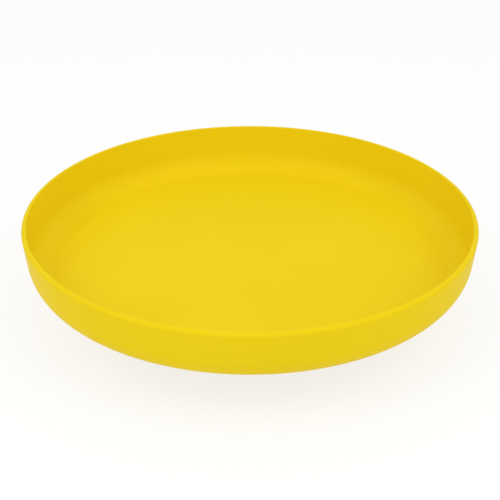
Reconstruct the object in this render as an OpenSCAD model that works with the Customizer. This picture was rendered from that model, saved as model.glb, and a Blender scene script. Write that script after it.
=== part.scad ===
// Drum dolly: a round moulded pan on swivel casters, made for one 208 litre drum.
// The origin is on the ground under the pan's centre. +Z is up and the front faces -Y.
// The casters are drawn as they trail after a push towards the front.

/* [Pan] */
// Outside diameter of the rim
rim_d = 700; // [580:1:900]
// Depth inside, from the rim down to the floor
pan_depth = 76; // [60:1:120]
// Thickness of the side wall
wall_t = 8; // [8:0.5:12]
// Thickness of the floor between its ribs
floor_t = 5.5; // [4:0.5:9]
// Lean of the side wall from upright, in degrees
draft = 7.3; // [2:0.1:12]
// Radius of the outside corner between the wall and the underside
corner_r = 48; // [40:1:58]
// Radius of the cove between the wall and the floor
cove_r = 35; // [25:1:45]
// Rounding of the rim's outer edge
lip_out_r = 5.5; // [1:0.5:5.5]
// Rounding of the rim's inner edge
lip_in_r = 1.5; // [0.5:0.5:1.5]

/* [Ribs under the floor] */
// Width of the ring that edges the underside
foot_w = 14; // [8:1:24]
// Thickness of each rib
rib_t = 4; // [3:0.5:6]
// Number of radial ribs
rib_count = 20; // [10:2:28]
// Number of ring ribs between the centre disc and the edge ring
ring_count = 4; // [3:1:6]
// Radius of the solid disc at the centre
disc_r = 30; // [15:1:40]
// Margin of each caster pad around the plate that it carries
pad_margin = 8; // [4:1:12]
// Corner radius of a caster pad
pad_corner_r = 10; // [4:1:14]

/* [Bolts and inserts] */
// Thread diameter of the bolts that hold a caster
bolt_d = 6; // [5:1:8]
// Width of a bolt's hexagon head across its flats
bolt_af = 10; // [8:1:13]
// Height of a bolt's head
bolt_head_h = 4; // [3:0.5:5.5]
// Clearance of a bolt in the plate's hole, on the diameter
bolt_play = 0.4; // [0.2:0.1:0.8]
// Outside diameter of a spring washer
washer_d = 11.8; // [9:0.1:14]
// Thickness of a spring washer
washer_t = 1.6; // [1:0.1:2.5]
// Width of the cut in a spring washer
washer_cut = 1.2; // [0.6:0.1:2]
// Outside diameter of a threaded insert
insert_d = 8; // [7.5:0.1:10]
// Length of a threaded insert
insert_l = 9.5; // [8:0.5:12]
// Empty depth of the hole beyond the insert
insert_relief = 1.5; // [0.5:0.5:3]
// Plastic left over the hole
insert_roof = 2; // [1.5:0.5:4]
// Length of insert that the bolt's end stops short of
thread_spare = 1.5; // [0.5:0.5:3]

/* [Caster] */
// Number of casters
caster_count = 5; // [3:1:5]
// Distance of each swivel axis in from the rim
pivot_inset = 150; // [120:1:180]
// Distance of the axle behind the swivel axis
trail = 22; // [16:1:26]
// Hole spacing of the square top plate
bolt_spacing = 45; // [38:1:56]
// Distance of a hole from the plate's edges
hole_edge = 7.5; // [6.5:0.5:10]
// Thickness of the top plate
plate_t = 2.5; // [2:0.5:4]
// Corner radius of the top plate
plate_corner_r = 6; // [2:1:7]
// Thickness of the fork's steel
sheet_t = 2.5; // [2:0.5:3.5]
// Gap between the wheel and the fork's web
wheel_gap = 4; // [2.5:0.5:7]
// Radius of the fork's leg around the axle
leg_end_r = 9.2; // [8:0.2:12]
// Length of the fork's web behind the axle
web_reach = 12; // [10:1:20]

/* [Swivel head] */
// Diameter of an upper ball
ball_d = 5; // [4:0.5:6]
// Depth that an upper ball sinks into each race
groove = 1; // [0.6:0.1:1.4]
// Height of the race pressed into the top plate
race_h = 3; // [2.5:0.5:4]
// Height of the dish pressed up in the fork's crown
dish_h = 3; // [2.5:0.5:4]
// Diameter of a lower ball
small_ball_d = 3.2; // [2.6:0.2:3.6]
// Depth that a lower ball sinks into each race
small_groove = 0.5; // [0.3:0.1:0.8]
// Clearance around a ball in its grooves
ball_play = 0.05; // [0.02:0.01:0.1]
// Thickness of the cup under the lower balls
cup_t = 2.5; // [2:0.5:3]
// Diameter of the kingpin
kingpin_d = 8; // [6:0.5:9]
// Diameter of the kingpin's lower head
kingpin_head_d = 14; // [11:1:16]
// Height of the kingpin's lower head
kingpin_head_h = 2.5; // [2:0.5:3.5]
// Clearance between the kingpin and the fork
kingpin_play = 1; // [0.5:0.1:1.2]

/* [Wheel and axle] */
// Diameter of the wheel
wheel_d = 50; // [40:1:63]
// Width of the tyre
wheel_w = 22; // [18:1:28]
// Thickness of the tyre on the hub
tyre_t = 7; // [5:0.5:8]
// Rounding of the tyre's shoulders
shoulder_r = 3; // [1.5:0.5:4]
// How far the hub's boss stands out of the tyre on each side
boss_proud = 1; // [0.5:0.5:3]
// Gap between the hub's boss and each fork leg
side_gap = 0.5; // [0.3:0.1:1]
// Diameter of the axle bolt
axle_d = 8; // [6:0.5:9]
// Width of the axle bolt's head and nut across their flats
axle_af = 13; // [11:1:15]
// Height of the axle bolt's head
axle_head_h = 5.3; // [4:0.1:6]
// Height of the axle nut's hexagon
axle_nut_h = 6.5; // [5:0.5:7.5]
// Height of the locking collar on the axle nut
nut_collar_h = 1.5; // [1:0.5:2]
// Clearance of the axle bolt in the fork and the sleeve, on the diameter
axle_play = 0.2; // [0.1:0.1:0.4]
// Wall of the sleeve that the wheel turns on
sleeve_t = 1.4; // [1:0.1:2]
// Running clearance between the hub and the sleeve, on the radius
running_play = 0.05; // [0.02:0.01:0.1]
// Wall of the hub's boss around its bore
boss_t = 4; // [3:0.5:5]
// Thickness of the hub's rim under the tyre
hub_rim_t = 3; // [2:0.5:4]
// Thickness of the hub's web
web_t = 6; // [4:0.5:8]
// Number of ribs on each side of the hub
spoke_count = 8; // [5:1:12]

/* [Hidden] */
$fn = 96;
ROUND_FN = 240;
SMALL_FN = 48;
OVERLAP = 0.5;

// Bolts and their washers
insert_hole_l = insert_l + insert_relief;
bolt_head_r = bolt_af / 2 / cos(30);
bolt_l = plate_t + washer_t + insert_l - thread_spare;
plate_w = bolt_spacing + 2 * hole_edge;

// Wheel, hub and sleeve: widths are measured across the axle
axle_z = wheel_d / 2;
boss_w = wheel_w + 2 * boss_proud;
leg_in = boss_w / 2 + side_gap;
leg_out = leg_in + sheet_t;
sleeve_r = axle_d / 2 + axle_play / 2 + sleeve_t;
hub_bore_r = sleeve_r + running_play;
boss_r = hub_bore_r + boss_t;
hub_r = wheel_d / 2 - tyre_t;
hub_w = wheel_w - 2;
key_w = web_t;
key_h = 1.5;

// Swivel head, from the fork's web up to the pan
skirt_t = 1.5;
skirt_gap = 1;
race_wall = 2.5;
skirt_bolt_gap = 3;
skirt_r = bolt_spacing / sqrt(2) - bolt_head_r - skirt_bolt_gap;
dish_r = skirt_r - skirt_t - skirt_gap;
race_r = dish_r - race_wall - ball_d / 2;
web_z = wheel_d + wheel_gap;
crown_z = web_z + sheet_t;
dish_z = crown_z + dish_h;
ball_z = dish_z - groove + ball_d / 2;
race_z = ball_z + ball_d / 2 - groove;
plate_z = race_z + race_h;
pan_z = plate_z + plate_t;

// Lower race, inside the fork's dish
cup_gap = 1.3;
cup_wall = 1.1;
cup_r = leg_in - cup_gap;
small_race_r = cup_r - cup_wall - small_ball_d / 2;
dish_roof_z = dish_z - sheet_t;
small_ball_z = dish_roof_z + small_groove - small_ball_d / 2;
cup_z = small_ball_z - small_ball_d / 2 + small_groove - cup_t;

// Pan heights and radii, measured from the underside of its ribs
rib_h = insert_hole_l + insert_roof - floor_t;
floor_top = rib_h + floor_t;
pan_h = floor_top + pan_depth;
pad_w = plate_w + 2 * pad_margin;
pivot_r = rim_d / 2 - pivot_inset;
flat_r = wall_r(0) - corner_r * tan((90 - draft) / 2);
foot_r = flat_r - foot_w;
ring_step = (foot_r - disc_r) / (ring_count + 1);

FASTENERS = ["threaded_inserts", "mounting_bolts", "spring_washers"];
CASTER_PIECES = ["top_plate", "upper_balls", "lower_balls", "fork", "race_cup", "kingpin",
    "axle_bolt", "axle_nut", "axle_sleeve", "wheel_hub", "tyre"];
NODES = concat(["pan"], FASTENERS,
    [for (k = [1 : caster_count]) for (piece = CASTER_PIECES) name_of(k, piece)]);
node = "all";

function name_of(k, piece) = str("caster_", k, "_", piece);
function wanted(name) = node == "all" || node == name;
function pivot(k) = pivot_r * [cos(90 + (k - 1) * 360 / caster_count), sin(90 + (k - 1) * 360 / caster_count)];

// Radius of the wall's outer and inner face at a height above the pan's underside
function wall_r(z) = rim_d / 2 - lip_out_r + lip_out_r / cos(draft)
    + (z - pan_h + lip_out_r) * tan(draft);
function bore_r(z) = wall_r(z) - wall_t / cos(draft);

// How many balls of diameter d fill a race of radius r with a little room to spare
function balls_in(r, d) = floor(2 * PI * r / (1.06 * d));

// ---- Rounded outlines ----

// A corner is rounded by an arc about a centre that lies on the line that halves the corner
function toward(a, b) = (b - a) / norm(b - a);
function bend(p, c, n) = acos(toward(c, p) * toward(c, n));
function arc_start(p, c, n, r) = c + toward(c, p) * r / tan(bend(p, c, n) / 2);
function arc_centre(p, c, n, r) = c + (toward(c, p) + toward(c, n)) * r / sin(bend(p, c, n));
function turns_left(p, c, n) = cross(c - p, n - c) > 0;

// The slice of a circle between two of its points, with tip on the far side of the arc
module slice(centre, r, from, tip, to) {
    intersection() {
        translate(centre) circle(r);
        polygon([centre, 2 * from - centre, centre + 3 * r * toward(centre, tip), 2 * to - centre]);
    }
}

// A closed outline from [x, y, corner radius] points, listed anticlockwise
module outline(points) {
    count = len(points);
    xy = [for (p = points) [p[0], p[1]]];
    function before(i) = xy[(i + count - 1) % count];
    function after(i) = xy[(i + 1) % count];
    function start(i) = arc_start(before(i), xy[i], after(i), points[i][2]);
    function centre(i) = arc_centre(before(i), xy[i], after(i), points[i][2]);
    function end(i) = arc_start(after(i), xy[i], before(i), points[i][2]);
    module round_slices(left) {
        for (i = [0 : count - 1])
            if (points[i][2] > 0 && turns_left(before(i), xy[i], after(i)) == left)
                slice(centre(i), points[i][2], start(i), xy[i], end(i));
    }
    difference() {
        union() {
            polygon([for (i = [0 : count - 1])
                each points[i][2] > 0 ? [start(i), end(i)] : [xy[i]]]);
            round_slices(true);
        }
        round_slices(false);
    }
}

module rounded_square(w, r) {
    h = w / 2;
    outline([[-h, -h, r], [h, -h, r], [h, h, r], [-h, h, r]]);
}

// ---- Places ----

module on_pivot(k) {
    translate([pivot(k)[0], pivot(k)[1], 0]) children();
}

// A caster's plate is square to the spoke that it stands on
module on_pad(k) {
    on_pivot(k) rotate(90 + (k - 1) * 360 / caster_count) children();
}

module at_bolts() {
    for (x = [-1, 1], y = [-1, 1]) translate([x, y, 0] * bolt_spacing / 2) children();
}

module at_every_bolt(z) {
    for (k = [1 : caster_count]) on_pad(k) at_bolts() translate([0, 0, z]) children();
}

// The axle lies along X, behind the swivel axis
module on_axle() {
    translate([0, trail, axle_z]) rotate([0, 90, 0]) children();
}

// ---- Pan ----

module pan_form() {
    rotate_extrude($fn = ROUND_FN)
        outline([[0, 0, 0], [wall_r(0), 0, corner_r], [wall_r(pan_h), pan_h, lip_out_r], [0, pan_h, 0]]);
}

module pan_hollow() {
    lip_end = bore_r(pan_h) + 2 * lip_in_r;
    above = pan_h + 10;
    rotate_extrude($fn = ROUND_FN)
        outline([[0, floor_top, 0], [bore_r(floor_top), floor_top, cove_r],
            [bore_r(pan_h), pan_h, lip_in_r], [lip_end, pan_h, 0], [lip_end, above, 0], [0, above, 0]]);
}

module ribs() {
    cylinder(r = disc_r, h = rib_h + OVERLAP);
    for (i = [1 : ring_count]) rotate_extrude($fn = ROUND_FN)
        translate([disc_r + i * ring_step - rib_t / 2, 0]) square([rib_t, rib_h + OVERLAP]);
    // Every second rib stops at the first ring, so that the centre isn't crowded
    for (i = [0 : rib_count - 1]) rotate(i * 360 / rib_count) {
        start = i % 2 == 0 ? disc_r - OVERLAP : disc_r + ring_step;
        translate([start, -rib_t / 2, 0]) cube([foot_r + foot_w / 2 - start, rib_t, rib_h + OVERLAP]);
    }
}

module pan() {
    color([0.93, 0.81, 0.08]) difference() {
        union() {
            translate([0, 0, pan_z]) {
                difference() {
                    pan_form();
                    pan_hollow();
                    translate([0, 0, -1]) cylinder(r = foot_r, h = rib_h + 1, $fn = ROUND_FN);
                }
                ribs();
            }
            for (k = [1 : caster_count]) on_pad(k) translate([0, 0, pan_z])
                linear_extrude(rib_h + OVERLAP) rounded_square(pad_w, pad_corner_r);
        }
        at_every_bolt(pan_z - 1) cylinder(d = insert_d, h = insert_hole_l + 1, $fn = SMALL_FN);
    }
}

// ---- Fasteners between the pan and the casters ----

module threaded_inserts() {
    color("goldenrod") at_every_bolt(pan_z) difference() {
        cylinder(d = insert_d, h = insert_l, $fn = SMALL_FN);
        translate([0, 0, -1]) cylinder(d = bolt_d, h = insert_l + 2, $fn = SMALL_FN);
    }
}

module mounting_bolts() {
    color("silver") at_every_bolt(plate_z - washer_t) {
        translate([0, 0, -bolt_head_h]) cylinder(r = bolt_head_r, h = bolt_head_h, $fn = 6);
        cylinder(d = bolt_d, h = bolt_l, $fn = SMALL_FN);
    }
}

module spring_washers() {
    color("gray") at_every_bolt(plate_z - washer_t) difference() {
        cylinder(d = washer_d, h = washer_t, $fn = SMALL_FN);
        translate([0, 0, -1]) cylinder(d = bolt_d + bolt_play, h = washer_t + 2, $fn = SMALL_FN);
        translate([0, -washer_cut / 2, -1]) cube([washer_d, washer_cut, washer_t + 2]);
    }
}

// ---- Swivel head ----

// A ring groove for balls of diameter d that run at radius r
module ball_groove(r, d, z) {
    translate([0, 0, z]) rotate_extrude() translate([r, 0]) circle(d / 2 + ball_play, $fn = SMALL_FN);
}

module ball_ring(r, d, z) {
    count = balls_in(r, d);
    color("lightsteelblue") for (i = [0 : count - 1])
        rotate(i * 360 / count) translate([r, 0, z]) sphere(d = d, $fn = SMALL_FN);
}

module top_plate() {
    race_in_r = race_r - ball_d / 2 - race_wall;
    color("silver") difference() {
        union() {
            translate([0, 0, plate_z]) linear_extrude(plate_t) rounded_square(plate_w, plate_corner_r);
            rotate_extrude() outline([[race_in_r, race_z, 0], [dish_r + skirt_gap, race_z, 0],
                [dish_r + skirt_gap, crown_z + 2, 0], [skirt_r, crown_z + 2, 0.5],
                [skirt_r, plate_z + OVERLAP, 0], [race_in_r, plate_z + OVERLAP, 0]]);
        }
        at_bolts() translate([0, 0, plate_z - 1])
            cylinder(d = bolt_d + bolt_play, h = plate_t + 2, $fn = SMALL_FN);
        translate([0, 0, plate_z - 1]) cylinder(d = kingpin_d, h = plate_t + 2);
        translate([0, 0, pan_z - rivet_h]) cylinder(d1 = kingpin_d, d2 = rivet_d, h = rivet_h);
        ball_groove(race_r, ball_d, ball_z);
    }
}

// The kingpin's upper end is riveted flush into the plate's countersink
rivet_h = 1.5;
rivet_d = kingpin_d + 2 * rivet_h;
rivet_sink = 0.2;

module kingpin() {
    color("lightgray") rotate_extrude() outline([[0, cup_z - kingpin_head_h, 0],
        [kingpin_head_d / 2, cup_z - kingpin_head_h, 1], [kingpin_head_d / 2, cup_z, 0],
        [kingpin_d / 2, cup_z, 0], [kingpin_d / 2, pan_z - rivet_h, 0],
        [rivet_d / 2 - rivet_sink, pan_z - rivet_sink, 0], [0, pan_z - rivet_sink, 0]]);
}

module race_cup() {
    color("silver") difference() {
        rotate_extrude() outline([[kingpin_d / 2, cup_z, 0], [cup_r, cup_z, 0.8],
            [cup_r, cup_z + cup_t, 0.3], [kingpin_d / 2, cup_z + cup_t, 0]]);
        ball_groove(small_race_r, small_ball_d, small_ball_z);
    }
}

module upper_balls() {
    ball_ring(race_r, ball_d, ball_z);
}

module lower_balls() {
    ball_ring(small_race_r, small_ball_d, small_ball_z);
}

// ---- Fork ----

// The fork's outline from the side: Y runs back from the swivel axis and Z runs up
module fork_side() {
    flange_r = skirt_r;
    front = -sqrt(flange_r * flange_r - leg_out * leg_out) + 1;
    low = axle_z - leg_end_r;
    bend_r = leg_end_r - 0.5;
    outline([[trail - leg_end_r, low, bend_r], [trail + leg_end_r, low, bend_r],
        [trail + web_reach, crown_z, 5], [front, crown_z, 0], [front, web_z - sheet_t, 3]]);
}

module fork_crown() {
    translate([0, 0, web_z]) cylinder(r = skirt_r, h = sheet_t);
    rotate_extrude() outline([[0, web_z + OVERLAP, 0], [dish_r, web_z + OVERLAP, 0],
        [dish_r, dish_z, 1.2], [0, dish_z, 0]]);
}

module fork() {
    bore_d = kingpin_d + 2 * kingpin_play;
    dish_in_r = dish_r - sheet_t;
    color("silver") difference() {
        union() {
            intersection() {
                rotate([90, 0, 90]) linear_extrude(2 * leg_out, center = true) fork_side();
                rotate([90, 0, 0]) linear_extrude(6 * wheel_d, center = true)
                    outline([[-leg_out, 0, 0], [leg_out, 0, 0], [leg_out, crown_z, 4], [-leg_out, crown_z, 4]]);
            }
            fork_crown();
        }
        // The wheel's slot between the legs
        rotate([90, 0, 0]) linear_extrude(8 * wheel_d, center = true)
            outline([[-leg_in, -1, 0], [leg_in, -1, 0], [leg_in, web_z, 1.5], [-leg_in, web_z, 1.5]]);
        // The dish's hollow, where the lower balls run
        intersection() {
            translate([0, 0, web_z - 1]) cylinder(r = dish_in_r, h = dish_roof_z - web_z + 1);
            translate([-leg_in, -dish_r, web_z - 2]) cube([2 * leg_in, 2 * dish_r, 2 * dish_h + 2]);
        }
        translate([0, 0, web_z - 1]) cylinder(d = bore_d, h = sheet_t + dish_h + 2);
        ball_groove(race_r, ball_d, ball_z);
        ball_groove(small_race_r, small_ball_d, small_ball_z);
        on_axle() cylinder(d = axle_d + axle_play, h = 4 * leg_out, center = true);
    }
}

// ---- Axle and wheel ----

module axle_bolt() {
    end = leg_out + axle_nut_h + nut_collar_h + 1;
    color("lightgray") on_axle() {
        translate([0, 0, -leg_out - axle_head_h])
            cylinder(r = axle_af / 2 / cos(30), h = axle_head_h, $fn = 6);
        translate([0, 0, -leg_out]) cylinder(d = axle_d, h = leg_out + end);
    }
}

module axle_nut() {
    color("gray") on_axle() translate([0, 0, leg_out]) difference() {
        union() {
            cylinder(r = axle_af / 2 / cos(30), h = axle_nut_h, $fn = 6);
            cylinder(d = axle_af - 1.5, h = axle_nut_h + nut_collar_h);
        }
        translate([0, 0, -1]) cylinder(d = axle_d, h = axle_nut_h + nut_collar_h + 2);
    }
}

module axle_sleeve() {
    color("dimgray") on_axle() difference() {
        cylinder(r = sleeve_r, h = 2 * leg_in, center = true);
        cylinder(d = axle_d + axle_play, h = 2 * leg_in + 2, center = true);
    }
}

module wheel_hub() {
    rim_in_r = hub_r - hub_rim_t;
    rib_w = 2;
    color("gainsboro") on_axle() difference() {
        union() {
            cylinder(r = boss_r, h = boss_w, center = true);
            cylinder(r = hub_r, h = web_t, center = true);
            difference() {
                cylinder(r = hub_r, h = hub_w, center = true);
                cylinder(r = rim_in_r, h = hub_w + 2, center = true);
            }
            cylinder(r = hub_r + key_h, h = key_w, center = true);
            for (i = [0 : spoke_count - 1]) rotate((i + 0.5) * 360 / spoke_count)
                translate([hub_bore_r + 1, -rib_w / 2, -hub_w / 2 + 1])
                    cube([rim_in_r - hub_bore_r, rib_w, hub_w - 2]);
        }
        cylinder(r = hub_bore_r, h = boss_w + 2, center = true);
    }
}

module tyre() {
    half = wheel_w / 2;
    color("dimgray") on_axle() rotate_extrude($fn = ROUND_FN) outline([
        [hub_r, -half, 0.6], [wheel_d / 2, -half, shoulder_r], [wheel_d / 2, half, shoulder_r],
        [hub_r, half, 0.6], [hub_r, key_w / 2, 0], [hub_r + key_h, key_w / 2, 0],
        [hub_r + key_h, -key_w / 2, 0], [hub_r, -key_w / 2, 0]]);
}

// ---- Assembly ----

if (wanted("pan")) pan();
if (wanted("threaded_inserts")) threaded_inserts();
if (wanted("mounting_bolts")) mounting_bolts();
if (wanted("spring_washers")) spring_washers();
for (k = [1 : caster_count]) {
    if (wanted(name_of(k, "top_plate"))) on_pad(k) top_plate();
    if (wanted(name_of(k, "upper_balls"))) on_pivot(k) upper_balls();
    if (wanted(name_of(k, "lower_balls"))) on_pivot(k) lower_balls();
    if (wanted(name_of(k, "fork"))) on_pivot(k) fork();
    if (wanted(name_of(k, "race_cup"))) on_pivot(k) race_cup();
    if (wanted(name_of(k, "kingpin"))) on_pivot(k) kingpin();
    if (wanted(name_of(k, "axle_bolt"))) on_pivot(k) axle_bolt();
    if (wanted(name_of(k, "axle_nut"))) on_pivot(k) axle_nut();
    if (wanted(name_of(k, "axle_sleeve"))) on_pivot(k) axle_sleeve();
    if (wanted(name_of(k, "wheel_hub"))) on_pivot(k) wheel_hub();
    if (wanted(name_of(k, "tyre"))) on_pivot(k) tyre();
}
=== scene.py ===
"""A drum dolly: a round yellow pan, moulded in one piece, that rolls on five swivel casters.

The sections follow the dolly as it is put together: the pan, then the inserts, the parts of
the casters from the top down, and last the floor, the lights and the camera.
"""
import math

import bpy
from mathutils import Matrix, Vector


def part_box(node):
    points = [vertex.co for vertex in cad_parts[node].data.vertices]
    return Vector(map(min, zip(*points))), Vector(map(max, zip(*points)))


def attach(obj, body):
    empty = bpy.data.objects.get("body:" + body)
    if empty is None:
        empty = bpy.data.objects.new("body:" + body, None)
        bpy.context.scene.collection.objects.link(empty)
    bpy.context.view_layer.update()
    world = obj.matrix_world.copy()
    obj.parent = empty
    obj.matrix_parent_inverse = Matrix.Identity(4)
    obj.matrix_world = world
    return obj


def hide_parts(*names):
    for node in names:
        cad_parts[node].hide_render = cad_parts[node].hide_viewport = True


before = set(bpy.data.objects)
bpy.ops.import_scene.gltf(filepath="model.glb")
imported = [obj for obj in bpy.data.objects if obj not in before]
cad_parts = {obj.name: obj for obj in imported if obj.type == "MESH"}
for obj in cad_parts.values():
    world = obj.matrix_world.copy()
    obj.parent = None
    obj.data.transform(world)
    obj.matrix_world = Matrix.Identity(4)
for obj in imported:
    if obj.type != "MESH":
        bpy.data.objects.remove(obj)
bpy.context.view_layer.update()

# ---- The pan -------------------------------------------------------------------------------
# One injection moulding in safety-yellow polyethylene. Its wall leans out to a rounded rim, and
# a cove joins the wall to a flat floor that a drum stands on. Ribs and five square pads under
# the floor are moulded with it, and the pads carry the casters.

pan_low, pan_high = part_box("pan")
rim_radius = pan_high.x
rim_top = pan_high.z
pan_bottom = pan_low.z
pan_depth = 0.076
floor_thickness = 0.0055
wall_thickness = 0.008
wall_lean = math.radians(7.3)
outer_corner = 0.048
inner_cove = 0.035
rim_outer_edge = 0.0055
rim_inner_edge = 0.0015
edge_ring_width = 0.014
rib_thickness = 0.004
centre_disc = 0.030
ring_ribs = 4
radial_ribs = 20
rib_fillet = 0.0014
pan_steps = 256
hollow_steps = 128


def deselect():
    """Nothing selected and object mode, so that the next operator starts clean."""
    if bpy.context.mode != "OBJECT":
        bpy.ops.object.mode_set(mode="OBJECT")
    bpy.ops.object.select_all(action="DESELECT")


def rounded(corners, closed=False, step=math.radians(7)):
    """An outline's points from (across, up, radius) corners, with an arc for each radius."""
    spots = [Vector(c[:2]) for c in corners]
    points = []
    for i, (spot, (_, _, radius)) in enumerate(zip(spots, corners)):
        if radius == 0 or (not closed and i in (0, len(spots) - 1)):
            points.append(spot)
            continue
        back = (spots[i - 1] - spot).normalized()
        on = (spots[(i + 1) % len(spots)] - spot).normalized()
        angle = back.angle(on)
        centre = spot + (back + on) * radius / math.sin(angle)
        reach = radius / math.tan(angle / 2)
        first = (spot + back * reach - centre).normalized()
        last = (spot + on * reach - centre).normalized()
        count = max(2, math.ceil((math.pi - angle) / step))
        points += [centre + first.slerp(last, k / count) * radius for k in range(count + 1)]
    return points


def upright(point):
    """Where a point of an outline lies when the outline stands in the XZ plane."""
    return point.x, 0, point.y


def draw(name, points, closed=False, place=upright):
    """Draws an outline as a wire, point by point, in the XZ plane unless placed otherwise."""
    deselect()
    bpy.ops.mesh.primitive_plane_add(size=0.001)
    piece = bpy.context.object
    piece.name = piece.data.name = name
    bpy.ops.object.mode_set(mode="EDIT")
    bpy.ops.mesh.select_all(action="SELECT")
    bpy.ops.mesh.merge(type="CENTER")
    bpy.ops.transform.translate(value=place(points[0]))
    for here, there in zip(points, points[1:] + points[:1] * closed):
        step = Vector(place(there)) - Vector(place(here))
        bpy.ops.mesh.extrude_region_move(TRANSFORM_OT_translate={"value": step})
    bpy.ops.mesh.select_all(action="SELECT")
    bpy.ops.mesh.remove_doubles(threshold=1e-6)
    return piece


def close_up():
    """Merges doubled points and turns every face outwards, then leaves edit mode."""
    bpy.ops.mesh.select_all(action="SELECT")
    bpy.ops.mesh.remove_doubles(threshold=1e-6)
    bpy.ops.mesh.normals_make_consistent(inside=False)
    bpy.ops.object.mode_set(mode="OBJECT")


def turned(name, points, steps, closed=False):
    """A round piece, turned about Z from its outline."""
    piece = draw(name, points, closed)
    bpy.ops.mesh.spin(steps=steps, angle=2 * math.pi, center=(0, 0, 0), axis=(0, 0, 1))
    close_up()
    return piece


def slab(name, points, depth, place):
    """A flat piece cut to an outline and given its thickness."""
    piece = draw(name, points, True, place)
    bpy.ops.mesh.edge_face_add()
    bpy.ops.mesh.extrude_region_move(TRANSFORM_OT_translate={"value": depth})
    close_up()
    return piece


def block(name, size, centre, turn=0.0):
    """A box with its place and its turn about Z in its mesh."""
    deselect()
    bpy.ops.mesh.primitive_cube_add(size=1, location=centre, rotation=(0, 0, turn), scale=size)
    piece = bpy.context.object
    piece.name = piece.data.name = name
    bpy.ops.object.transform_apply(location=True, rotation=True, scale=True)
    return piece


def rod(name, radius, centre, length, sides=32, turn=(0, 0, 0)):
    """A cylinder about its centre, with its place in its mesh."""
    deselect()
    bpy.ops.mesh.primitive_cylinder_add(vertices=sides, radius=radius, depth=length,
                                        location=centre, rotation=turn)
    piece = bpy.context.object
    piece.name = piece.data.name = name
    bpy.ops.object.transform_apply(location=True, rotation=True, scale=True)
    return piece


def join(pieces, name):
    """Several pieces made into one."""
    deselect()
    for piece in pieces:
        piece.select_set(True)
    bpy.context.view_layer.objects.active = pieces[0]
    bpy.ops.object.join()
    pieces[0].name = pieces[0].data.name = name
    return pieces[0]


def apply_modifier(piece, kind, **settings):
    """Adds a modifier with these settings and applies it."""
    deselect()
    bpy.context.view_layer.objects.active = piece
    piece.select_set(True)
    modifier = piece.modifiers.new(kind, kind)
    for setting, value in settings.items():
        setattr(modifier, setting, value)
    bpy.ops.object.modifier_apply(modifier=modifier.name)
    return piece


def carve(piece, cutter, how="DIFFERENCE", overlapping=False):
    """Cuts one piece with another, or adds it, and puts the other away."""
    apply_modifier(piece, "BOOLEAN", operation=how, object=cutter, solver="EXACT",
                   use_self=overlapping)
    bpy.data.objects.remove(cutter)
    return piece


def soften(piece, width, segments=2, angle=math.radians(35)):
    """Rounds every edge that turns more than the angle."""
    return apply_modifier(piece, "BEVEL", width=width, segments=segments, limit_method="ANGLE",
                          angle_limit=angle, use_clamp_overlap=True)


def shade(piece, angle=math.radians(32), sliver=2e-6):
    """Clears the slivers that cuts leave, then shades smooth up to edges that turn more."""
    deselect()
    piece.select_set(True)
    bpy.context.view_layer.objects.active = piece
    bpy.ops.object.mode_set(mode="EDIT")
    bpy.ops.mesh.select_all(action="SELECT")
    bpy.ops.mesh.remove_doubles(threshold=sliver)
    bpy.ops.mesh.dissolve_degenerate(threshold=sliver)
    bpy.ops.object.mode_set(mode="OBJECT")
    bpy.ops.object.shade_smooth_by_angle(angle=angle)


def wall_at(height):
    """Radius of the wall's outer face at a height above the pan's underside."""
    lip = pan_height - rim_outer_edge
    lip_radius = rim_radius - rim_outer_edge + rim_outer_edge / math.cos(wall_lean)
    return lip_radius + (height - lip) * math.tan(wall_lean)


pan_height = rim_top - pan_bottom
floor_height = pan_height - pan_depth
rib_depth = floor_height - floor_thickness
wall_across = wall_thickness / math.cos(wall_lean)
flat_radius = wall_at(0) - outer_corner * math.tan((math.pi / 2 - wall_lean) / 2)
ring_radius = flat_radius - edge_ring_width

pan_outline = rounded([
    (0, floor_height, 0),
    (wall_at(floor_height) - wall_across, floor_height, inner_cove),
    (wall_at(pan_height) - wall_across, pan_height, rim_inner_edge),
    (wall_at(pan_height), pan_height, rim_outer_edge),
    (wall_at(0), 0, outer_corner),
    (0, 0, 0)], step=math.radians(5))
pan = turned("pan_moulding", [p + Vector((0, pan_bottom)) for p in pan_outline], steps=pan_steps)

# The hollows between the ribs: rings first, then the radial ribs and pads are taken out of them
ring_step = (ring_radius - centre_disc) / (ring_ribs + 1)
hollows = []
for i in range(ring_ribs + 1):
    inner = centre_disc + i * ring_step + (rib_thickness / 2 if i else 0)
    outer = centre_disc + (i + 1) * ring_step - (rib_thickness / 2 if i < ring_ribs else 0)
    below, above = pan_bottom - rib_depth, pan_bottom + rib_depth
    hollows.append(turned("hollow", [Vector(p) for p in (
        (inner, below), (outer, below), (outer, above), (inner, above))],
        steps=hollow_steps, closed=True))
hollows = join(hollows, "hollows")

pad_side = 0.076
pad_corner = 0.010
bolt_spacing = 0.045
past_hollows = rib_depth * 3
pivots = []
for k in range(1, 6):
    low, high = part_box(f"caster_{k}_kingpin")
    pivots.append(Vector(((low.x + high.x) / 2, (low.y + high.y) / 2, 0)))
on_pads = [Matrix.Translation(pivot) @ Matrix.Rotation(math.atan2(pivot.y, pivot.x), 4, "Z")
           for pivot in pivots]
bolt_spots = [(x * bolt_spacing / 2, y * bolt_spacing / 2, 0) for x in (-1, 1) for y in (-1, 1)]
on_bolts = [pad @ Matrix.Translation(spot) for pad in on_pads for spot in bolt_spots]


def rounded_square(side, corner):
    """The outline of a square about the origin with rounded corners."""
    half = side / 2
    return rounded([(x * half, y * half, corner) for x, y in ((-1, -1), (1, -1), (1, 1), (-1, 1))],
                   closed=True)


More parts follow.
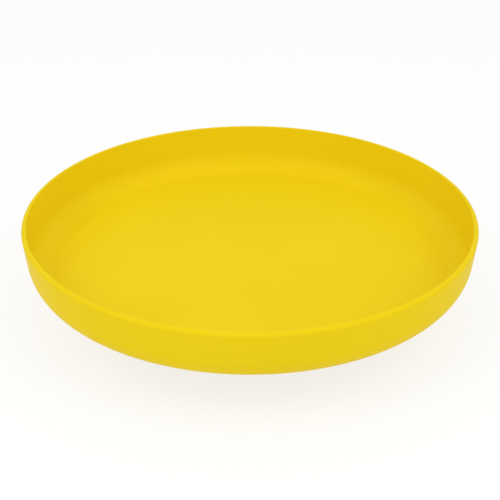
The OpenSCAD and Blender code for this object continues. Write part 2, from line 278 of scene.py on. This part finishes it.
ribs_and_pads = []
for i in range(radial_ribs):
    turn = i * 2 * math.pi / radial_ribs
    start = centre_disc / 2 if i % 2 == 0 else centre_disc + ring_step
    stop = ring_radius + edge_ring_width / 2
    reach = (start + stop) / 2
    ribs_and_pads.append(block("rib", (stop - start, rib_thickness, 2 * past_hollows),
                               (reach * math.cos(turn), reach * math.sin(turn), pan_bottom), turn))
for place in on_pads:
    pad = slab("pad", rounded_square(pad_side, pad_corner), (0, 0, 2 * past_hollows),
               lambda p: (p.x, p.y, pan_bottom - past_hollows))
    pad.data.transform(place)
    ribs_and_pads.append(pad)
carve(hollows, join(ribs_and_pads, "ribs_and_pads"), overlapping=True)
soften(hollows, rib_fillet, segments=3)
carve(pan, hollows)

# Blind holes in the pads for the threaded inserts
insert_radius = 0.004
hole_depth = 0.011
holes = []
for place in on_bolts:
    hole = rod("hole", insert_radius, (0, 0, pan_bottom), hole_depth * 2)
    hole.data.transform(place)
    holes.append(hole)
carve(pan, join(holes, "holes"))
shade(pan)


def add(tree, kind, inputs=None, **settings):
    """Adds a node to a material or a group. Each input takes a value or a socket to link to."""
    item = tree.nodes.new(kind)
    for setting, value in settings.items():
        setattr(item, setting, value)
    for name, value in (inputs or {}).items():
        if isinstance(value, bpy.types.NodeSocket):
            tree.links.new(value, item.inputs[name])
        else:
            item.inputs[name].default_value = value
    return item


def effect(name, inputs, outputs):
    """A shader node group with number sockets, ready to be filled between its two end nodes."""
    group = bpy.data.node_groups.new(name, "ShaderNodeTree")
    for label, value in inputs.items():
        socket = group.interface.new_socket(name=label, in_out="INPUT",
                                            socket_type="NodeSocketFloat")
        socket.default_value = value
    for label in outputs:
        group.interface.new_socket(name=label, in_out="OUTPUT", socket_type="NodeSocketFloat")
    return group, add(group, "NodeGroupInput"), add(group, "NodeGroupOutput")


def placed(tree, group, **inputs):
    """An effect put into a material with that material's own values."""
    item = add(tree, "ShaderNodeGroup", node_tree=group)
    for label, value in inputs.items():
        item.inputs[label.replace("_", " ")].default_value = value
    return item


def finish(name, roughness, metallic=0.0, specular=0.5):
    """A new material with its shader and its constant values."""
    material = bpy.data.materials.new(name)
    material.use_nodes = True
    shader = material.node_tree.nodes["Principled BSDF"]
    shader.inputs["Roughness"].default_value = roughness
    shader.inputs["Metallic"].default_value = metallic
    shader.inputs["Specular IOR Level"].default_value = specular
    return material.node_tree, shader, material


def blend_colour(tree, shader, mask, plain, marked):
    """Base colour that goes from the plain one to the marked one with a mask."""
    mix = add(tree, "ShaderNodeMix", data_type="RGBA")
    tree.links.new(mask, mix.inputs["Factor"])
    mix.inputs["A"].default_value = (*plain, 1)
    mix.inputs["B"].default_value = (*marked, 1)
    tree.links.new(mix.outputs["Result"], shader.inputs["Base Color"])


def vary_roughness(tree, shader, mask, plain, marked):
    """Roughness that goes from the plain one to the marked one with a mask."""
    ramp = add(tree, "ShaderNodeMapRange", {"Value": mask, "To Min": plain, "To Max": marked})
    tree.links.new(ramp.outputs["Result"], shader.inputs["Roughness"])


def relief(tree, shader, height, depth):
    """Surface relief of a depth in metres."""
    bump = add(tree, "ShaderNodeBump", {"Height": height, "Distance": depth, "Strength": 1.0})
    tree.links.new(bump.outputs["Normal"], shader.inputs["Normal"])


# Grain: the fine texture of a moulded or rolled surface, and broad soft patches in it
grain, start, end = effect("grain", {"Fineness": 900.0, "Patch Size": 14.0}, ["Height", "Patches"])
where = add(grain, "ShaderNodeTexCoord").outputs["Object"]
fine = add(grain, "ShaderNodeTexNoise", {
    "Vector": where, "Scale": start.outputs["Fineness"], "Detail": 3.0})
broad = add(grain, "ShaderNodeTexNoise", {
    "Vector": where, "Scale": start.outputs["Patch Size"], "Detail": 4.0})
patches = add(grain, "ShaderNodeMapRange", {
    "Value": broad.outputs["Fac"], "From Min": 0.35, "From Max": 0.65},
    interpolation_type="SMOOTHSTEP")
grain.links.new(fine.outputs["Fac"], end.inputs["Height"])
grain.links.new(patches.outputs["Result"], end.inputs["Patches"])

# Scuffs: thin scratches that run two ways, gathered in patches where things rub
scuffs, start, end = effect("scuffs", {"Fineness": 55.0, "Amount": 0.5}, ["Marks"])
where = add(scuffs, "ShaderNodeTexCoord").outputs["Object"]
scratches = []
for turn, stretch in ((0.5, (1, 16, 16)), (-0.9, (1.3, 20, 20))):
    lay = add(scuffs, "ShaderNodeMapping", {
        "Vector": where, "Rotation": (0, 0, turn), "Scale": stretch})
    lines = add(scuffs, "ShaderNodeTexNoise", {
        "Vector": lay.outputs["Vector"], "Scale": start.outputs["Fineness"], "Detail": 2.0})
    scratches.append(add(scuffs, "ShaderNodeMapRange", {
        "Value": lines.outputs["Fac"], "From Min": 0.66, "From Max": 0.74}).outputs["Result"])
either = add(scuffs, "ShaderNodeMath", operation="MAXIMUM")
scuffs.links.new(scratches[0], either.inputs[0])
scuffs.links.new(scratches[1], either.inputs[1])
zones = add(scuffs, "ShaderNodeTexNoise", {"Vector": where, "Scale": 9.0, "Detail": 2.0})
gathered = add(scuffs, "ShaderNodeMapRange", {
    "Value": zones.outputs["Fac"], "From Min": 0.45, "From Max": 0.7})
rubbed = add(scuffs, "ShaderNodeMath", operation="MULTIPLY")
scuffs.links.new(either.outputs["Value"], rubbed.inputs[0])
scuffs.links.new(gathered.outputs["Result"], rubbed.inputs[1])
scaled = add(scuffs, "ShaderNodeMath", operation="MULTIPLY")
scuffs.links.new(rubbed.outputs["Value"], scaled.inputs[0])
scuffs.links.new(start.outputs["Amount"], scaled.inputs[1])
scuffs.links.new(scaled.outputs["Value"], end.inputs["Marks"])

tree, shader, pan_yellow = finish("pan_yellow", roughness=0.42, specular=0.035)
texture = placed(tree, grain, Fineness=1100.0, Patch_Size=5.0)
wear = placed(tree, scuffs, Fineness=26.0, Amount=0.6)
blend_colour(tree, shader, texture.outputs["Patches"],
             (0.872, 0.652, 0.008), (0.857, 0.636, 0.007))
vary_roughness(tree, shader, wear.outputs["Marks"], 0.42, 0.6)
relief(tree, shader, texture.outputs["Height"], 0.00004)
pan.data.materials.append(pan_yellow)
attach(pan, "base")
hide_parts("pan")

# ---- The threaded inserts ------------------------------------------------------------------
# Turned brass sleeves with an M6 thread, four in each pad. They are pressed hot into the
# holes, so the plastic grips them.

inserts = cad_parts["threaded_inserts"]


def dress(part, material):
    """Gives a part that is kept from the CAD model its material."""
    part.data.materials.clear()
    part.data.materials.append(material)


tree, shader, insert_brass = finish("insert_brass", roughness=0.3, metallic=1.0)
texture = placed(tree, grain, Fineness=1500.0, Patch_Size=180.0)
blend_colour(tree, shader, texture.outputs["Patches"], (0.78, 0.56, 0.24), (0.66, 0.45, 0.18))
vary_roughness(tree, shader, texture.outputs["Patches"], 0.28, 0.42)
relief(tree, shader, texture.outputs["Height"], 0.00003)
dress(inserts, insert_brass)

# ---- The top plates ------------------------------------------------------------------------
# A square of zinc-plated sheet steel for each caster. The upper ball race stands down from
# it, inside a skirt that keeps grit out of the balls, and four holes take the bolts.

plate_low, plate_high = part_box("caster_1_top_plate")
plate_side = plate_high.x - plate_low.x
plate_top = plate_high.z
plate_thickness = 0.0025
plate_corner = 0.006
plate_hole = 0.0032
pin_radius = 0.004
countersink = 0.0015
race_depth = 0.003
race_wall = 0.0025
race_steps = 96
skirt_thickness = 0.0015
skirt_gap = 0.001
skirt_low = plate_low.z
ball_play = 0.00005
plate_edge = 0.0004
plate_under = plate_top - plate_thickness
race_face = plate_under - race_depth


def ball_track(ring):
    """Radius of a ring of balls about its swivel axis, their height, and one ball's radius."""
    low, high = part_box(ring)
    ball = (high.z - low.z) / 2
    return high.x - pivots[0].x - ball, (high.z + low.z) / 2, ball


def groove(radius, height, ball, face, outwards=True):
    """The arc that balls have pressed into a face, as points from the inside out or back."""
    play = ball + ball_play
    side = 1 if face > height else -1
    half = math.acos(abs(face - height) / play)
    arcs = 12
    angles = [half * (2 * i / arcs - 1) for i in range(arcs + 1)]
    points = [Vector((radius + play * math.sin(a), height + side * play * math.cos(a)))
              for a in angles]
    return points if outwards else points[::-1]


def corners(*points):
    """Plain corners as the points of an outline."""
    return [Vector(p) for p in points]


def to_casters(model, piece, rides_on, material, places):
    """Copies a model made about the swivel axis to every caster, and puts the model away."""
    for k, place in enumerate(places, 1):
        copy = bpy.data.objects.new(f"{model.name}_{k}", model.data.copy())
        bpy.context.scene.collection.objects.link(copy)
        copy.data.name = copy.name
        copy.data.transform(place)
        copy.data.materials.append(material)
        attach(copy, rides_on if rides_on == "base" else f"{rides_on}_{k}")
        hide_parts(f"caster_{k}_{piece}")
    bpy.data.objects.remove(model)


upper_radius, upper_height, upper_ball = ball_track("caster_1_upper_balls")
race_in = upper_radius - upper_ball - race_wall
skirt_in = upper_radius + upper_ball + race_wall + skirt_gap
skirt_out = skirt_in + skirt_thickness
in_plate = plate_under + plate_thickness / 2

plate = slab("swivel_plate", rounded_square(plate_side, plate_corner), (0, 0, plate_thickness),
             lambda p: (p.x, p.y, plate_under))
race = turned("race", [
    *corners((race_in, in_plate), (race_in, race_face)),
    *groove(upper_radius, upper_height, upper_ball, race_face),
    *corners((skirt_in, race_face), (skirt_in, skirt_low),
             (skirt_out, skirt_low), (skirt_out, in_plate))], steps=race_steps, closed=True)
carve(plate, race, "UNION")
plate_holes = [rod("hole", plate_hole, (x, y, plate_top), plate_thickness * 4)
               for x, y, _ in bolt_spots]
plate_holes.append(turned("pin_hole", corners(
    (0, race_face), (pin_radius, race_face), (pin_radius, plate_top - countersink),
    (pin_radius + 2 * countersink, plate_top + countersink), (0, plate_top + countersink)),
    steps=48))
carve(plate, join(plate_holes, "plate_holes"))
soften(plate, plate_edge)
shade(plate)

tree, shader, plated_steel = finish("plated_steel", roughness=0.34, metallic=1.0)
texture = placed(tree, grain, Fineness=700.0, Patch_Size=110.0)
wear = placed(tree, scuffs, Fineness=120.0, Amount=0.8)
blend_colour(tree, shader, texture.outputs["Patches"], (0.62, 0.64, 0.67), (0.52, 0.53, 0.56))
vary_roughness(tree, shader, wear.outputs["Marks"], 0.32, 0.55)
relief(tree, shader, texture.outputs["Height"], 0.00003)
to_casters(plate, "top_plate", "base", plated_steel, on_pads)

# ---- The balls of the upper race -----------------------------------------------------------
# A full ring of polished bearing steel balls in each caster, packed in grease, which carries
# the load from the plate to the fork.

tree, shader, ball_steel = finish("ball_steel", roughness=0.12, metallic=1.0)
texture = placed(tree, grain, Fineness=2500.0, Patch_Size=220.0)
blend_colour(tree, shader, texture.outputs["Patches"], (0.74, 0.74, 0.76), (0.5, 0.46, 0.38))
vary_roughness(tree, shader, texture.outputs["Patches"], 0.1, 0.3)
relief(tree, shader, texture.outputs["Height"], 0.000006)
for k in range(1, 6):
    dress(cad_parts[f"caster_{k}_upper_balls"], ball_steel)

# ---- The forks -----------------------------------------------------------------------------
# Pressed from one zinc-plated sheet: two legs bent down from a web, whose crown is dished up
# between the two ball races. The legs lean back to the axle, so the wheel trails.

fork_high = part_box("caster_1_fork")[1]
sheet_thickness = 0.0025
fork_gap = 0.0125
fork_half = fork_gap + sheet_thickness
bend_inside = 0.0015
bend_outside = 0.004
trail = 0.022
axle_height = 0.025
leg_round = 0.0092
leg_bend = leg_round - 0.0005
web_back = 0.034
web_back_corner = 0.005
web_front = -0.0165
web_front_corner = 0.003
leg_front = 0.0515
crown_top = 0.0565
web_low = crown_top - sheet_thickness
dish_top = fork_high.z
dish_radius = upper_radius + upper_ball + race_wall
dish_corner = 0.0012
dish_inside = dish_radius - sheet_thickness
dish_roof = dish_top - sheet_thickness
fork_bore = 0.005
axle_hole = 0.0041
fork_edge = 0.00035
axle = Vector((0, trail, axle_height))

side = rounded([
    (trail - leg_round, axle_height - leg_round, leg_bend),
    (trail + leg_round, axle_height - leg_round, leg_bend),
    (web_back, crown_top, web_back_corner), (web_front, crown_top, 0),
    (web_front, leg_front, web_front_corner)], closed=True)
fork = slab("swivel_fork", side, (2 * fork_half, 0, 0), lambda p: (-fork_half, p.x, p.y))
sheet = rounded([
    (-fork_half, 0, 0), (-fork_gap, 0, 0), (-fork_gap, web_low, bend_inside),
    (fork_gap, web_low, bend_inside), (fork_gap, 0, 0), (fork_half, 0, 0),
    (fork_half, crown_top, bend_outside), (-fork_half, crown_top, bend_outside)],
    closed=True, step=math.radians(12))
bent = slab("bent_sheet", sheet, (0, 4 * web_back, 0), lambda p: (p.x, -2 * web_back, p.y))
carve(fork, bent, "INTERSECT")
crown = turned("crown", [
    *corners((0, web_low), (skirt_out, web_low), (skirt_out, crown_top), (dish_radius, crown_top)),
    *rounded([(dish_radius, crown_top, 0), (dish_radius, dish_top, dish_corner),
              (upper_radius, dish_top, 0)])[1:-1],
    *groove(upper_radius, upper_height, upper_ball, dish_top, outwards=False),
    Vector((0, dish_top))], steps=race_steps)
carve(fork, crown, "UNION")
lower_radius, lower_height, lower_ball = ball_track("caster_1_lower_balls")
dish = turned("dish", [
    *corners((0, web_low / 2), (dish_inside, web_low / 2), (dish_inside, dish_roof)),
    *groove(lower_radius, lower_height, lower_ball, dish_roof, outwards=False),
    *corners((fork_bore, dish_roof), (fork_bore, dish_top * 1.1), (0, dish_top * 1.1))],
    steps=race_steps)
carve(dish, block("between_legs", (2 * fork_gap, 1, 1), (0, 0, 0)), "INTERSECT")
carve(fork, dish)
carve(fork, rod("axle_hole", axle_hole, axle, 4 * fork_half, turn=(0, math.pi / 2, 0)))
soften(fork, fork_edge)
shade(fork)
on_pivots = [Matrix.Translation(pivot) for pivot in pivots]
to_casters(fork, "fork", "swivel", plated_steel, on_pivots)

# ---- The lower balls and their cups --------------------------------------------------------
# Small balls run under the fork's dish in a cup of pressed, plated steel. They take the pull
# when a caster is lifted or rocked.

for k in range(1, 6):
    dress(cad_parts[f"caster_{k}_lower_balls"], ball_steel)
    dress(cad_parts[f"caster_{k}_race_cup"], plated_steel)

# ---- The kingpins --------------------------------------------------------------------------
# A turned steel pin with a domed head under the cup. Its upper end is riveted over into the
# plate's countersink, which holds the whole swivel together.

pin_low, pin_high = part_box("caster_1_kingpin")
head_radius = (pin_high.x - pin_low.x) / 2
head_height = 0.0025
head_dome = 0.0012
dome_reach = head_radius * 0.72
dome_round = head_radius * 0.6
head_shoulder = 0.0007
head_edge = 0.0002
cup_face = pin_low.z + head_height

dome = rounded([
    (0, pin_low.z, 0), (dome_reach, pin_low.z, dome_round),
    (head_radius, cup_face - head_dome, head_shoulder), (head_radius, cup_face, head_edge),
    (pin_radius, cup_face, 0)])
flare_low = plate_top - countersink
pin = turned("swivel_pin", [*dome, *corners(
    (pin_radius, flare_low), (pin_radius + pin_high.z - flare_low, pin_high.z),
    (0, pin_high.z))], steps=48)
shade(pin)

tree, shader, pin_steel = finish("pin_steel", roughness=0.3, metallic=1.0)
texture = placed(tree, grain, Fineness=900.0, Patch_Size=140.0)
blend_colour(tree, shader, texture.outputs["Patches"], (0.5, 0.5, 0.51), (0.38, 0.37, 0.36))
vary_roughness(tree, shader, texture.outputs["Patches"], 0.25, 0.42)
relief(tree, shader, texture.outputs["Height"], 0.00002)
to_casters(pin, "kingpin", "base", pin_steel, on_pivots)

# ---- The wheel hubs ------------------------------------------------------------------------
# Natural white nylon, moulded with a boss, a thin web and a rim, and eight ribs on each side.
# The hub is made about Z and then laid on the axle.

hub_bore = 0.00555
boss_radius = 0.00955
boss_half = 0.012
web_half = 0.003
hub_half = 0.010
hub_radius = 0.018
hub_inner = 0.015
key_radius = 0.0195
hub_ribs = 8
hub_rib = 0.002
rib_setback = 0.001
hub_fillet = 0.0004
bore_edge = 0.0003
boss_edge = 0.0006
web_fillet = 0.0008
rim_edge = 0.0005
on_axle = Matrix.Translation(axle) @ Matrix.Rotation(math.pi / 2, 4, "Y")

half_hub = [
    (hub_bore, -boss_half, bore_edge), (boss_radius, -boss_half, boss_edge),
    (boss_radius, -web_half, web_fillet), (hub_inner, -web_half, web_fillet),
    (hub_inner, -hub_half, rim_edge), (hub_radius, -hub_half, rim_edge),
    (hub_radius, -web_half, 0), (key_radius, -web_half, 0)]
other_half = [(across, -up, radius) for across, up, radius in half_hub[::-1]]
hub = turned("wheel_hub", rounded(half_hub + other_half, closed=True, step=math.radians(20)),
             steps=96, closed=True)
spokes = []
for i in range(hub_ribs // 2):
    turn = (i + 0.5) * 2 * math.pi / hub_ribs
    size = 2 * hub_inner + rib_setback, hub_rib, 2 * (hub_half - rib_setback)
    spokes.append(block("spoke", size, (0, 0, 0), turn))
spokes = carve(join(spokes, "spokes"), rod("boss_room", hub_bore + rib_setback, (0, 0, 0), 1),
               overlapping=True)
soften(spokes, hub_fillet)
carve(hub, spokes, "UNION")
shade(hub)
hub.data.transform(on_axle)

tree, shader, hub_nylon = finish("hub_nylon", roughness=0.45, specular=0.4)
texture = placed(tree, grain, Fineness=1400.0, Patch_Size=60.0)
wear = placed(tree, scuffs, Fineness=150.0, Amount=0.7)
blend_colour(tree, shader, texture.outputs["Patches"], (0.74, 0.73, 0.68), (0.66, 0.65, 0.6))
vary_roughness(tree, shader, wear.outputs["Marks"], 0.42, 0.62)
relief(tree, shader, texture.outputs["Height"], 0.00003)
to_casters(hub, "wheel_hub", "wheel", hub_nylon, on_pivots)

# ---- The tyres -----------------------------------------------------------------------------
# Grey non-marking elastomer, moulded on the hub and keyed to it. A shallow ring is sunk in
# each sidewall, and the tread has the thin flash line that the mould leaves.

wheel_radius = 0.025
tyre_half = 0.011
shoulder = 0.003
hub_side_edge = 0.0006
ring_start = 0.0195
ring_end = 0.0216
ring_slope = 0.0004
ring_edge = 0.0003
flash_half = 0.0003
flash_height = 0.00008
tread = wheel_radius - flash_height

sunk_side = -tyre_half + ring_slope
half_tyre = rounded([
    (key_radius, 0, 0), (key_radius, -web_half, 0), (hub_radius, -web_half, 0),
    (hub_radius, -tyre_half, hub_side_edge), (ring_start, -tyre_half, ring_edge),
    (ring_start + ring_slope, sunk_side, ring_edge), (ring_end - ring_slope, sunk_side, ring_edge),
    (ring_end, -tyre_half, ring_edge), (tread, -tyre_half, shoulder), (tread, -flash_half, 0),
    (wheel_radius, 0, 0)], step=math.radians(12))
other_half = [Vector((p.x, -p.y)) for p in half_tyre[-2:0:-1]]
tyre = turned("tyre", half_tyre + other_half, steps=128, closed=True)
shade(tyre)
tyre.data.transform(on_axle)

tree, shader, tyre_rubber = finish("tyre_rubber", roughness=0.7, specular=0.35)
texture = placed(tree, grain, Fineness=800.0, Patch_Size=90.0)
wear = placed(tree, scuffs, Fineness=110.0, Amount=0.9)
blend_colour(tree, shader, texture.outputs["Patches"],
             (0.095, 0.096, 0.100), (0.125, 0.124, 0.122))
vary_roughness(tree, shader, wear.outputs["Marks"], 0.62, 0.85)
relief(tree, shader, texture.outputs["Height"], 0.00005)
to_casters(tyre, "tyre", "wheel", tyre_rubber, on_pivots)

# ---- The axle sleeves ----------------------------------------------------------------------
# Turned steel tubes that the hubs run on. The axle bolts clamp them between the forks' legs,
# so that tight bolts never pinch the wheels.

for k in range(1, 6):
    dress(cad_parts[f"caster_{k}_axle_sleeve"], pin_steel)

# ---- The axle bolts ------------------------------------------------------------------------
# M8 hexagon bolts, bright zinc plated. The head has chamfered corners and a washer face, and
# the rolled thread shows beyond the nut.

hex_flats = 0.013
bolt_head = 0.0053
axle_radius = 0.004
axle_end = 0.024
thread_start = 0.0165
thread_pitch = 0.00125
thread_depth = 0.0006
thread_crest = 0.1
thread_root = 0.45
washer_face = 0.0003
face_share = 0.46
chamfer_share = 0.475
bolt_edge = 0.0001


def hexagon(name, flats, low, high, chamfered):
    """A hexagon prism along Z, with its corners turned off at its low end, or at both ends."""
    corner = flats / 2 / math.cos(math.radians(30))
    prism = rod(name, corner, (0, 0, (low + high) / 2), high - low, sides=6,
                turn=(0, 0, math.radians(30)))
    top = flats * chamfer_share
    slope = (corner - top) * math.tan(math.radians(30))
    past = corner * 1.001
    outline = corners((0, low), (top, low), (past, low + slope))
    if chamfered == "both":
        outline += corners((past, high - slope), (top, high), (0, high))
    else:
        outline += corners((past, high), (0, high))
    return carve(prism, turned("chamfer", outline, steps=48), "INTERSECT")


head_face = -fork_half - washer_face
head_middle = -fork_half - bolt_head / 2
face_radius = hex_flats * face_share
root_radius = axle_radius - thread_depth
head = hexagon("axle_bolt", hex_flats, -fork_half - bolt_head, head_face, "low")
shank = corners((0, head_middle), (axle_radius, head_middle), (axle_radius, head_face),
                (face_radius, head_face), (face_radius, -fork_half),
                (axle_radius, -fork_half), (axle_radius, thread_start))
spot = thread_start
while spot + thread_pitch < axle_end - thread_depth:
    for radius, share in ((axle_radius, thread_crest), (root_radius, thread_root),
                          (root_radius, 1 - thread_root), (axle_radius, 1 - thread_crest)):
        shank.append(Vector((radius, spot + thread_pitch * share)))
    spot += thread_pitch
shank += corners((axle_radius, axle_end - thread_depth), (root_radius, axle_end), (0, axle_end))
carve(head, turned("shank", shank, steps=48), "UNION")
soften(head, bolt_edge, segments=1)
shade(head)
head.data.transform(on_axle)

tree, shader, bolt_steel = finish("bolt_steel", roughness=0.3, metallic=1.0)
texture = placed(tree, grain, Fineness=900.0, Patch_Size=160.0)
wear = placed(tree, scuffs, Fineness=160.0, Amount=0.9)
blend_colour(tree, shader, texture.outputs["Patches"], (0.66, 0.67, 0.69), (0.56, 0.57, 0.6))
vary_roughness(tree, shader, wear.outputs["Marks"], 0.26, 0.5)
relief(tree, shader, texture.outputs["Height"], 0.00002)
to_casters(head, "axle_bolt", "swivel", bolt_steel, on_pivots)

# ---- The axle nuts -------------------------------------------------------------------------
# Locking nuts of bright zinc-plated steel: a chamfered hexagon with a rounded collar, whose
# tight bore grips the thread so that the wheel's play stays as it was set.

nut_height = 0.0065
collar_height = 0.0015
collar_radius = 0.00575
collar_round = 0.0008
recess_radius = 0.0049
recess_depth = 0.0004
nut_edge = 0.00012
bore_length = 0.04

nut = hexagon("axle_nut", hex_flats, fork_half, fork_half + nut_height, "both")
nut_middle = fork_half + nut_height / 2
collar_top = fork_half + nut_height + collar_height
recess_floor = collar_top - recess_depth
collar = turned("collar", rounded([
    (0, nut_middle, 0), (collar_radius, nut_middle, 0),
    (collar_radius, collar_top, collar_round), (recess_radius, collar_top, 0),
    (recess_radius, recess_floor, 0), (0, recess_floor, 0)]), steps=48)
carve(nut, collar, "UNION")
carve(nut, rod("nut_bore", axle_radius, (0, 0, fork_half), bore_length, sides=48))
soften(nut, nut_edge, segments=1)
shade(nut)
nut.data.transform(on_axle)
to_casters(nut, "axle_nut", "swivel", bolt_steel, on_pivots)

# ---- The mounting bolts and their washers --------------------------------------------------
# M6 hexagon bolts, four for each caster, go up through the plate into the inserts. A split
# spring washer of hardened steel under each head stops it working loose.

bolt_flats = 0.010
bolt_head_height = 0.004
bolt_radius = 0.003
bolt_tip = 0.0006
washer_radius = 0.0059
washer_hole = 0.0032
washer_slit = 0.0012
washer_edge = 0.00012
washer_slant = math.radians(28)
bolt_low, bolt_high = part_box("mounting_bolts")
head_top = bolt_low.z + bolt_head_height


def to_bolts(model, name, node, material):
    """Copies a fastener made on the Z axis to every bolt hole, as one piece."""
    copies = []
    for place in on_bolts:
        copy = bpy.data.objects.new(name, model.data.copy())
        bpy.context.scene.collection.objects.link(copy)
        copy.data.transform(place)
        copies.append(copy)
    bpy.data.objects.remove(model)
    piece = join(copies, name)
    piece.data.materials.append(material)
    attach(piece, "base")
    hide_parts(node)


head_face = head_top - washer_face
head_middle = bolt_low.z + bolt_head_height / 2
face_radius = bolt_flats * face_share
bolt = hexagon("bolt", bolt_flats, bolt_low.z, head_face, "low")
carve(bolt, turned("bolt_shank", corners(
    (0, head_middle), (bolt_radius, head_middle), (bolt_radius, head_face),
    (face_radius, head_face), (face_radius, head_top), (bolt_radius, head_top),
    (bolt_radius, bolt_high.z - bolt_tip), (bolt_radius - bolt_tip, bolt_high.z),
    (0, bolt_high.z)), steps=32), "UNION")
soften(bolt, bolt_edge, segments=1)
shade(bolt)
to_bolts(bolt, "plate_bolts", "mounting_bolts", bolt_steel)

washer_height = plate_under - head_top
washer = turned("washer", corners(
    (washer_hole, head_top), (washer_radius, head_top),
    (washer_radius, plate_under), (washer_hole, plate_under)), steps=48, closed=True)
slit = block("slit", (2 * washer_radius, washer_slit, 4 * washer_height), (0, 0, 0))
slit.data.transform(Matrix.Translation((washer_radius, 0, (head_top + plate_under) / 2))
                    @ Matrix.Rotation(washer_slant, 4, "X"))
carve(washer, slit)
soften(washer, washer_edge)
shade(washer)

tree, shader, spring_steel = finish("spring_steel", roughness=0.4, metallic=1.0)
texture = placed(tree, grain, Fineness=900.0, Patch_Size=200.0)
blend_colour(tree, shader, texture.outputs["Patches"], (0.40, 0.40, 0.41), (0.30, 0.30, 0.31))
vary_roughness(tree, shader, texture.outputs["Patches"], 0.35, 0.5)
relief(tree, shader, texture.outputs["Height"], 0.00002)
to_bolts(washer, "split_washers", "spring_washers", spring_steel)

# ---- The floor and the lights --------------------------------------------------------------
# A plain white floor under soft, even studio light: a bright room, a large lamp to each side of
# the front and a weak one overhead. The floor glows a little, so that its shadows stay pale,
# and it is seen only from above, so that the underside can be looked at too.

floor_size = 30
below_wheels = 0.0004
deselect()
bpy.ops.mesh.primitive_plane_add(size=floor_size, location=(0, 0, -below_wheels))
floor = bpy.context.object
floor.name = floor.data.name = "studio_floor"
tree, shader, floor_white = finish("floor_white", roughness=0.9, specular=0.0)
shader.inputs["Base Color"].default_value = (0.6, 0.6, 0.6, 1)
shader.inputs["Emission Color"].default_value = (1, 1, 1, 1)
shader.inputs["Emission Strength"].default_value = 0.34
glow = add(tree, "ShaderNodeEmission", {"Strength": 1.05})
rays = add(tree, "ShaderNodeLightPath")
side = add(tree, "ShaderNodeNewGeometry")
clear = add(tree, "ShaderNodeBsdfTransparent")


def mix_shaders(tree, share, first, second):
    """A mix of two shaders' first outputs."""
    mix = add(tree, "ShaderNodeMixShader", {"Fac": share})
    tree.links.new(first.outputs[0], mix.inputs[1])
    tree.links.new(second.outputs[0], mix.inputs[2])
    return mix


pale = mix_shaders(tree, 0.6, shader, glow)
seen = mix_shaders(tree, rays.outputs["Is Camera Ray"], shader, pale)
one_sided = mix_shaders(tree, side.outputs["Backfacing"], seen, clear)
tree.links.new(one_sided.outputs["Shader"], tree.nodes["Material Output"].inputs["Surface"])
floor.data.materials.append(floor_white)

world = bpy.data.worlds.new("studio")
bpy.context.scene.world = world
world.use_nodes = True
tree = world.node_tree
room = add(tree, "ShaderNodeBackground", {"Color": (1, 1, 1, 1), "Strength": 0.75})
backdrop = add(tree, "ShaderNodeBackground", {"Color": (1, 1, 1, 1), "Strength": 1.0})
rays = add(tree, "ShaderNodeLightPath")
studio = mix_shaders(tree, rays.outputs["Is Camera Ray"], room, backdrop)
tree.links.new(studio.outputs["Shader"], tree.nodes["World Output"].inputs["Surface"])


def softbox(name, place, aim, size, power):
    """A square lamp that faces a point."""
    deselect()
    bpy.ops.object.light_add(type="AREA", location=place)
    lamp = bpy.context.object
    lamp.name = name
    lamp.data.size = size
    lamp.data.energy = power
    lamp.rotation_mode = "QUATERNION"
    lamp.rotation_quaternion = (Vector(aim) - Vector(place)).to_track_quat("-Z", "Y")
    return lamp


middle = (0, 0, 0.1)
softbox("left_lamp", (-1.65, -1.2, 2.1), middle, size=1.6, power=14)
softbox("right_lamp", (1.65, -1.2, 2.1), middle, size=1.6, power=14)
softbox("top_lamp", (0, 0.1, 2.2), middle, size=1.4, power=2)

# ---- The camera ----------------------------------------------------------------------------
# It stands well back in front, above the rim, and looks down into the pan through a long
# lens. The wheels and their forks are out of its sight behind the wall.

camera_distance = 6 * rim_radius
camera_height = math.radians(26.86)
camera_dip = math.radians(1.50)
camera_lens = 97.9
camera_sensor = 36
bpy.ops.object.camera_add()
camera = bpy.context.object
camera.name = "front_camera"
camera.data.lens = camera_lens
camera.data.sensor_width = camera_sensor
rim_centre = Vector((0, 0, rim_top))
towards_camera = Vector((0, -math.cos(camera_height), math.sin(camera_height)))
camera.location = rim_centre + camera_distance * towards_camera
dip = camera_height + camera_dip
camera.rotation_mode = "QUATERNION"
camera.rotation_quaternion = Vector((0, math.cos(dip), -math.sin(dip))).to_track_quat("-Z", "Y")
bpy.context.scene.camera = camera
bpy.context.scene.view_settings.view_transform = "Standard"
